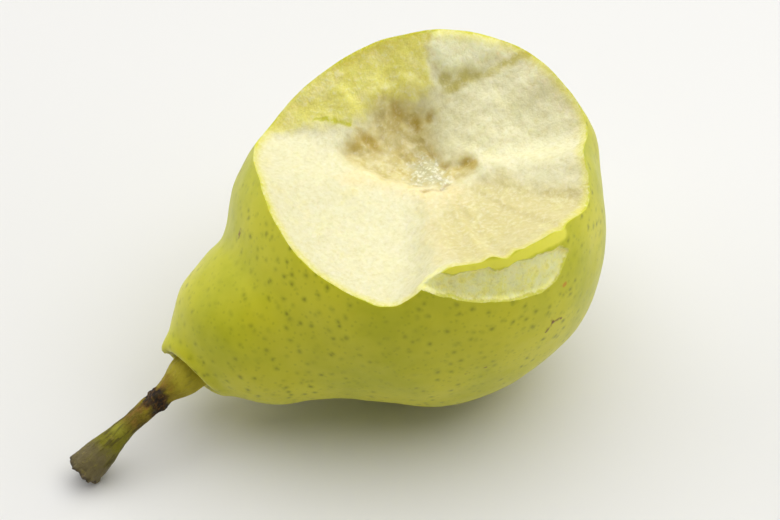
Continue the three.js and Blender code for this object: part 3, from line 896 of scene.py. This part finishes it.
def make_body(settings):
    """The fruit: its whole skin, with both bites cut out of it."""
    rings, sides = settings.rings, settings.sides
    skin_look = skin_material(settings)
    flesh_look = flesh_material(settings)
    points = skin_grid(rings, sides) + BULB_CENTRE
    points[:, 2] = np.maximum(points[:, 2], 0.0)
    faces = tube_faces(rings, sides)
    body = new_piece("pear_body", points, faces, [skin_look, flesh_look])
    whole = BVHTree.FromPolygons(points.tolist(), faces)
    main = cutter(
        "main_cutter", (-38, -33), (37, 36), settings.flesh_step, hollow_height, BITE_AXES,
        flesh_look,
    )
    shallow = cutter(
        "shallow_cutter", (-22, -9), (11, 16), settings.flesh_step,
        lambda spots: peel_height(spots, whole), SHALLOW_AXES, flesh_look,
    )
    for tool in (main, shallow):
        change = body.modifiers.new("bite", "BOOLEAN")
        change.operation = "DIFFERENCE"
        change.solver = "MANIFOLD"
        change.material_mode = "TRANSFER"
        change.object = tool
    graph = bpy.context.evaluated_depsgraph_get()
    mesh = bpy.data.meshes.new_from_object(body.evaluated_get(graph))
    body.modifiers.clear()
    body.data = mesh
    for tool in (main, shallow):
        bpy.data.objects.remove(tool)
    mesh.shade_smooth()
    paint_body(mesh, whole)
    return body


def paint_body(mesh, whole):
    """Marks how deep each point lies under the skin, and keeps the rim of the bite sharp."""
    count = len(mesh.vertices)
    points = np.empty(count * 3)
    mesh.vertices.foreach_get("co", points)
    points = points.reshape(-1, 3) / MM
    under = np.array([whole.find_nearest(point)[3] for point in points.tolist()])
    spots = ((points - BULB_CENTRE) @ BITE_AXES.T)[:, :2]
    marks = hollow_marks(spots)
    marks["under_skin"] = under
    from_peel = (points - BULB_CENTRE) @ SHALLOW_AXES.T
    on_peel = from_peel[:, :2]
    # Where the shallow bite peeled the skin off; its flesh is painted brighter there, as painted light
    # against the recess's shade.
    marks["brightened_peel"] = smooth_step(inside_depth(on_peel, PEEL_EDGE), -0.6, 0.6)
    marks["brightened_peel"] *= smooth_step(under, 2.2, 1.5)
    # Painted light: where the thin strip of skin between the two bites is painted brighter.
    off_strip = near_path(on_peel, STRIP_LINE)[0]
    marks["lit_thin_strip"] = np.exp(-((off_strip / 1.5) ** 2)) * (from_peel[:, 2] > 0)
    ends = [skin_point(np.array([end]), np.zeros(1))[0] for end in (0.0, 1.0)]
    basin = np.linalg.norm(points - BULB_CENTRE - ends[1], axis=1)
    marks["near_ends"] = np.exp(-((basin / 5.0) ** 2))
    # Painted shade: how strongly the skin is darkened in the crease round the stem's foot.
    marks["stem_crease_shade"] = np.exp(-(((from_stem(points - BULB_CENTRE) - 4.7) / 0.8) ** 2))
    write_marks(mesh, marks)
    kinds = {}
    sharp = set()
    for face in mesh.polygons:
        for edge in face.edge_keys:
            if kinds.setdefault(edge, face.material_index) != face.material_index:
                sharp.add(edge)
    flags = np.zeros(len(mesh.edges), bool)
    for edge in mesh.edges:
        flags[edge.index] = edge.key in sharp
    mesh.attributes.new("sharp_edge", "BOOLEAN", "EDGE").data.foreach_set("value", flags)


STEM_RADIUS = 2.05
STEM_FOOT_RADIUS = 2.9
STEM_END_RADIUS = 3.7
STEM_END_LEAN = 0.86
STEM_ROOT_DEPTH = 4.0
STEM_REACH = 25.2
STEM_SWING = 1.2
STEM_ARCH = 0.9
STEM_SEAT_SHIFT = (-2.4, -1.8, -1.0)
STEM_ROOT_SWING = (0.6, 1.2)
STEM_FOOT_SHARE = 0.25
STEM_FLARE_START = 0.6
STEM_FLARE_END = 0.97
STEM_GROUND_CLEARANCE = 0.15
# Only here: the foot's wider skirt, and the shares of the stem where its node, the dark cork
# round it and its green bump sit.
STEM_SKIRT = 1.3
NODE_SHARE = 0.37
CORK_SHARE = 0.365
GREEN_BUMP_SHARE = 0.655


def stem_line():
    """The stem's middle line, as even points from its hidden root to its broken end."""
    seat = skin_point(np.zeros(1), np.zeros(1))[0] + STEM_SEAT_SHIFT
    end_height = STEM_END_LEAN * STEM_END_RADIUS + STEM_GROUND_CLEARANCE - BULB_CENTRE[2]
    end = np.array([seat[0] - STEM_REACH, seat[1] - STEM_SWING, end_height])
    root = seat + (STEM_ROOT_DEPTH, *STEM_ROOT_SWING)
    knots = [root, seat]
    for share in (0.25, 0.5, 0.75):
        arch = STEM_ARCH * math.sin(math.pi * share)
        knots.append(seat + (end - seat) * share + (0, 0, arch))
    knots.append(end)
    fine = np.linspace(0, 1, 1001)
    line = spline(knots, fine)
    length = np.concatenate([[0], np.cumsum(np.linalg.norm(np.diff(line, axis=0), axis=1))])
    return line, length / length[-1]


def from_stem(points):
    """Distance of each point from the middle line of the stem's inner stretch."""
    line, way = stem_line()
    path = line[: int(0.4 * len(line)) : 50]
    return near_path(points, path)[0]


def make_stem(settings):
    """The stem: fibrous ridges, a corky node, a green bump and a broken, ragged end."""
    rings, sides = settings.rings, settings.sides
    line, way = stem_line()
    cap = np.linspace(0, 1, 12)[1:-1]
    share = np.concatenate([np.linspace(0, 1, rings), np.ones(len(cap))])
    middle = np.stack([np.interp(share, way, line[:, axis]) for axis in range(3)], -1)
    tangent = np.gradient(middle[:rings], axis=0)
    tangent = np.concatenate([tangent, np.repeat(tangent[-1:], len(cap), 0)])
    tangent /= np.linalg.norm(tangent, axis=1, keepdims=True)
    level = np.cross(tangent, (0.0, 0.0, 1.0))
    level /= np.linalg.norm(level, axis=1, keepdims=True)
    upper = np.cross(level, tangent)
    turn = WHOLE_TURN * np.arange(sides) / sides
    foot = np.exp(-((share / STEM_FOOT_SHARE) ** 2))
    flare = smooth_step(share, STEM_FLARE_START, STEM_FLARE_END)
    radius = STEM_RADIUS + (STEM_FOOT_RADIUS - STEM_RADIUS) * foot
    radius += (STEM_END_RADIUS - STEM_RADIUS) * flare
    radius += STEM_SKIRT * smooth_step(share, 0.33, 0.12)
    inward = np.concatenate([np.ones(rings), 1.0 - cap])
    round_about = (
        np.cos(turn)[None, :, None] * level[:, None] + np.sin(turn)[None, :, None] * upper[:, None]
    )
    row = share[:, None] + 0 * turn[None, :]
    reach = (radius * inward)[:, None]
    ring_spots = np.stack([0 * row, reach * np.cos(turn), reach * np.sin(turn)], -1)
    along_spots = ring_spots + (row * 30)[..., None] * np.array([1.0, 0.0, 0.0])
    ridge_spots = ring_spots + (row * 6)[..., None] * np.array([1.0, 0.0, 0.0])

    def knob(place, angle, half_length, half_turn):
        """1 at a place on the bark, fading over an oval about it."""
        away = turn[None, :] - math.radians(angle)
        off_turn = np.arctan2(np.sin(away), np.cos(away)) / math.radians(half_turn)
        return np.exp(-(((row - place) / half_length) ** 2) - off_turn**2)

    waver = 0.02 * rough(ring_spots, 1.5, 57, 2)
    node = np.exp(-(((row - NODE_SHARE - waver) / 0.045) ** 2))
    cork = np.exp(-(((row - CORK_SHARE - 2 * waver) / 0.085) ** 2))
    bump = knob(GREEN_BUMP_SHARE, 100, 0.05, 38)
    lift = 0.12 * rough(along_spots, 2.6, 41, 3) + 0.16 * lumps(ridge_spots, 1.3, 45)
    lift += node * (0.08 + 0.5 * rough(along_spots, 1.0, 47, 2))
    lift += 0.35 * knob(0.345, 110, 0.018, 40) + 0.3 * knob(0.4, 150, 0.016, 35) + 0.35 * bump
    frayed = smooth_step(row, 0.9, 1.0)
    lift += frayed * 0.5 * rough(along_spots, 1.6, 49, 3)
    lift *= np.where(inward < 1, inward, 1.0)[:, None]
    grid = middle[:, None] + round_about * (reach + lift)[..., None]
    crown = 0.5 * (1 - inward) ** 0.5 - 0.5 * (1 - inward) ** 2
    push = crown[:, None] + smooth_step(row, 0.97, 1.0) * 0.7 * rough(ring_spots, 1.5, 53, 3)
    grid += tangent[:, None] * push[..., None] + BULB_CENTRE
    end = grid[-1].mean(axis=0)
    start = middle[0] + BULB_CENTRE
    points = np.concatenate([start[None], grid.reshape(-1, 3), end[None]])
    points[:, 2] = np.maximum(points[:, 2], 0.05)
    look = stem_material()
    piece = new_piece("woody_stem", points, tube_faces(len(share), sides), [look])
    marks = {
        "way": row,
        "cork": cork,
        "green_bump": bump,
        "broken": smooth_step(row, 0.965, 1.0) * np.where(inward < 1, 1.0, 0.75)[:, None],
        "level": np.broadcast_to(np.cos(turn), row.shape),
        "upper": np.broadcast_to(np.sin(turn), row.shape),
    }
    for name, values in marks.items():
        marks[name] = np.concatenate([values[0, :1], values.reshape(-1), values[-1, -1:]])
    write_marks(piece.data, marks)
    return piece


SEPAL_LENGTH = 4.6
SEPAL_WIDTH = 2.4
SEPAL_CLEARANCE = 0.3
SEPAL_CURL = 1.1
SEPAL_RISE = 0.8
SEPAL_WIDEST_SHARE = 0.4
SEPAL_TAPER = 0.7
SEPAL_FOOT_PINCH = 0.6
SEPAL_FOOT_HEIGHT = 0.9
SEPAL_HALF_THICKNESS = 0.12


def make_sepal(number, count, look, settings):
    """One dried sepal, curled back from the foot ring in the blossom basin."""
    rows, columns = settings.rows, settings.columns
    way, across = np.meshgrid(np.linspace(0, 1, rows), np.linspace(-1, 1, columns), indexing="ij")
    spots = np.stack([way * SEPAL_LENGTH + 9 * number, across * SEPAL_WIDTH / 2, 0 * way], -1)
    beyond = np.clip((way - SEPAL_WIDEST_SHARE) / (1 - SEPAL_WIDEST_SHARE), -SEPAL_FOOT_PINCH, 1)
    width = 0.5 * SEPAL_WIDTH * np.cos(0.5 * np.pi * beyond) ** SEPAL_TAPER + 0.03
    width = width * (1 + 0.12 * lumps(spots * (1, 0, 0), 0.8, 55))
    abreast = count * (SEPAL_WIDTH + SEPAL_CLEARANCE) / WHOLE_TURN
    ring = abreast - SEPAL_LENGTH * (1 - math.cos(SEPAL_CURL * SEPAL_WIDEST_SHARE))
    curl = SEPAL_CURL * way
    out = ring + SEPAL_LENGTH * (1 - np.cos(curl))
    up = SEPAL_RISE * SEPAL_LENGTH * np.sin(curl)
    veins = 0.05 * np.cos(across * 9) * (1 - way)
    ripple = 0.12 * rough(spots, 1.1, 51) + 0.2 * across**2 * (0.4 + way) + veins
    turn = WHOLE_TURN * (number - 1) / count
    flat = across * width
    sheets = []
    for side in (1, -1):
        off = ripple + side * SEPAL_HALF_THICKNESS
        height = up + off * np.sin(curl)
        reach = out - off * np.cos(curl)
        first = flat * math.cos(turn) - reach * math.sin(turn)
        second = flat * math.sin(turn) + reach * math.cos(turn)
        sheet = height[..., None] * ALONG + first[..., None] * SIDE + second[..., None] * CROWN
        sheets.append(sheet.reshape(-1, 3))
    base = skin_point(np.ones(1), np.zeros(1))[0] + ALONG * SEPAL_FOOT_HEIGHT + BULB_CENTRE
    quads, edge = grid_faces(rows, columns)
    below = rows * columns
    rim = np.stack([edge, edge + below, np.roll(edge, -1) + below, np.roll(edge, -1)], -1)
    faces = quads[:, ::-1].tolist() + (quads + below).tolist() + rim.tolist()
    return new_piece(f"dried_sepal_{number}", np.concatenate(sheets) + base, faces, [look])


# ---- Settings, operators and panel ----


def colour_setting(name, about, shade):
    return FloatVectorProperty(
        name=name, description=about, subtype="COLOR", size=4, min=0.0, max=1.0, default=colour(*shade)
    )


def count_setting(name, about, count):
    return IntProperty(name=name, description=about, default=count)


def length_setting(name, about, length):
    return FloatProperty(name=name, description=about, default=length, unit="LENGTH")


def angle_setting(name, about, degrees):
    return FloatProperty(
        name=name, description=about, default=math.radians(degrees), subtype="ANGLE"
    )


def place_setting(name, about, place):
    return FloatVectorProperty(
        name=name, description=about, default=place, subtype="TRANSLATION", size=3
    )


def power_setting(name, about, power):
    return FloatProperty(name=name, description=about, default=power, unit="POWER")


class PearBodySettings(PropertyGroup):
    rings: count_setting("Rings", "Rings of points along the fruit", 200)
    sides: count_setting("Sides", "Points round each ring", 310)
    flesh_step: FloatProperty(
        name="Flesh step", description="Spacing of the bitten surface's points, in mm", default=0.38
    )
    green: colour_setting("Green skin", "Skin on its greener side", (188, 189, 28))
    yellow: colour_setting("Yellow skin", "Skin on its riper side", (212, 207, 40))
    flesh: colour_setting("Flesh", "Cream flesh away from the skin", (232, 227, 186))
    lenticel_spacing: length_setting(
        "Lenticel spacing", "Width of the skin's lenticel cells", 0.0022
    )


class PearStemSettings(PropertyGroup):
    rings: count_setting("Rings", "Rings of points along the stem", 240)
    sides: count_setting("Sides", "Points round each ring", 72)


class PearBlossomSettings(PropertyGroup):
    count: count_setting("Sepals", "Dried sepals in the basin", 5)
    rows: count_setting("Rows", "Rows of points along a sepal", 34)
    columns: count_setting("Columns", "Points across a sepal", 17)


class PearStageSettings(PropertyGroup):
    camera_turn: angle_setting("Camera turn", "Turn of the camera round the fruit", -31.9)
    camera_height: angle_setting("Camera height", "Angle of the camera above the floor", 44.3)
    camera_distance: length_setting(
        "Camera distance", "From the camera to the point it looks at", 0.2895
    )
    camera_aim: place_setting(
        "Camera aim", "Point the camera looks at, from the middle of the fruit's box",
        (0.00786, -0.00808, 0.00524),
    )
    camera_width: angle_setting("Camera field", "Width of the camera's view", 30)
    key_place: place_setting(
        "Key place", "Place of the main light from the fruit's middle", (0.16, 0.05, 0.72)
    )
    key_size: length_setting("Key size", "Width of the main light", 1.25)
    key_power: power_setting("Key power", "Power of the main light", 7.6)
    fill_place: place_setting(
        "Fill place", "Place of the rear light from the fruit's middle", (-0.5, 0.62, 0.3)
    )
    fill_size: length_setting("Fill size", "Width of the rear light", 1.2)
    fill_power: power_setting("Fill power", "Power of the rear light", 4.2)
    side_place: place_setting(
        "Side place", "Place of the side light from the fruit's middle", (0.42, -0.32, 0.42)
    )
    side_size: length_setting("Side size", "Width of the side light", 0.8)
    side_power: power_setting("Side power", "Power of the side light", 1.35)
    sky_power: FloatProperty(name="Sky light", description="Strength of the even light", default=0.08)


def turned(azimuth, elevation):
    """Direction from the object towards a camera or light."""
    return Vector((
        math.sin(azimuth) * math.cos(elevation),
        -math.cos(azimuth) * math.cos(elevation),
        math.sin(elevation),
    ))


def add_lamp(name, aim, place, size, power):
    """A soft round light at a place from the fruit's middle, turned towards it."""
    light = bpy.data.lights.new(name, "AREA")
    light.shape = "DISK"
    light.size = size
    light.energy = power
    lamp = bpy.data.objects.new(name, light)
    lamp.location = aim + place
    lamp.rotation_euler = place.to_track_quat("Z", "Y").to_euler()
    bpy.context.scene.collection.objects.link(lamp)


def make_stage(settings):
    """The camera, the lights and the pale floor."""
    scene = bpy.context.scene
    low, high = (Vector(corner) for corner in CAD_BOX)
    middle = (low + high) / 2
    aim = middle + Vector(settings.camera_aim)
    towards = turned(settings.camera_turn, settings.camera_height)
    lens = bpy.data.cameras.new("camera")
    lens.sensor_width = 36.0
    lens.lens = 18.0 / math.tan(settings.camera_width / 2)
    camera = bpy.data.objects.new("camera", lens)
    camera.location = aim + towards * settings.camera_distance
    camera.rotation_euler = towards.to_track_quat("Z", "Y").to_euler()
    scene.collection.objects.link(camera)
    scene.camera = camera
    add_lamp("key", middle, Vector(settings.key_place), settings.key_size, settings.key_power)
    add_lamp("fill", middle, Vector(settings.fill_place), settings.fill_size, settings.fill_power)
    add_lamp("side", middle, Vector(settings.side_place), settings.side_size, settings.side_power)
    world = bpy.data.worlds.new("even_light")
    scene.world = world
    world.use_nodes = True
    sky = world.node_tree.nodes["Background"]
    sky.inputs["Color"].default_value = (1.0, 1.0, 1.0, 1.0)
    sky.inputs["Strength"].default_value = settings.sky_power
    maker = Maker("pale_floor")
    look = maker.finish(Base_Color=colour(232, 231, 228), Roughness=0.9)
    reach = 1500.0
    corners = [(-reach, -reach, 0), (reach, -reach, 0), (reach, reach, 0), (-reach, reach, 0)]
    floor = new_piece("floor", corners, [(0, 1, 2, 3)], [look])
    scene.view_settings.view_transform = "Standard"
    scene.view_settings.look = "None"


class PEAR_OT_body(Operator):
    """Makes the fruit with its skin, flesh and bite"""

    bl_idname = "pear.body"
    bl_label = "Make fruit"

    def execute(self, context):
        body = make_body(context.scene.pear_body)
        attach(body, "root")
        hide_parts("pear_flesh")
        return {"FINISHED"}


class PEAR_OT_stem(Operator):
    """Makes the woody stem"""

    bl_idname = "pear.stem"
    bl_label = "Make stem"

    def execute(self, context):
        stem = make_stem(context.scene.pear_stem)
        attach(stem, "root")
        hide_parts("stem")
        return {"FINISHED"}


class PEAR_OT_blossom(Operator):
    """Makes the dried sepals at the blossom end"""

    bl_idname = "pear.blossom"
    bl_label = "Make blossom"

    def execute(self, context):
        settings = context.scene.pear_blossom
        look = sepal_material()
        for number in range(1, settings.count + 1):
            sepal = make_sepal(number, settings.count, look, settings)
            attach(sepal, "root")
            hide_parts(f"sepal_{number}")
        return {"FINISHED"}


class PEAR_OT_stage(Operator):
    """Makes the floor, the lights and the camera"""

    bl_idname = "pear.stage"
    bl_label = "Make stage"

    def execute(self, context):
        make_stage(context.scene.pear_stage)
        return {"FINISHED"}


class PEAR_PT_panel(Panel):
    """Lists the pear's settings and operators"""

    bl_label = "Pear"
    bl_space_type = "VIEW_3D"
    bl_region_type = "UI"
    bl_category = "Pear"

    def draw(self, context):
        layout = self.layout
        for name, operator, _ in PARTS:
            settings = getattr(context.scene, name)
            box = layout.box()
            for key in settings.__annotations__:
                box.prop(settings, key)
            box.operator(operator.bl_idname)


PARTS = (
    ("pear_body", PEAR_OT_body, PearBodySettings),
    ("pear_stem", PEAR_OT_stem, PearStemSettings),
    ("pear_blossom", PEAR_OT_blossom, PearBlossomSettings),
    ("pear_stage", PEAR_OT_stage, PearStageSettings),
)


def register():
    for name, operator, settings in PARTS:
        bpy.utils.register_class(settings)
        bpy.utils.register_class(operator)
        setattr(bpy.types.Scene, name, PointerProperty(type=settings))
    bpy.utils.register_class(PEAR_PT_panel)


def unregister():
    bpy.utils.unregister_class(PEAR_PT_panel)
    for name, operator, settings in reversed(PARTS):
        delattr(bpy.types.Scene, name)
        bpy.utils.unregister_class(operator)
        bpy.utils.unregister_class(settings)


def main():
    register()
    bpy.ops.pear.body()
    bpy.ops.pear.stem()
    bpy.ops.pear.blossom()
    bpy.ops.pear.stage()
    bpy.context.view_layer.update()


if __name__ == "__main__":
    main()
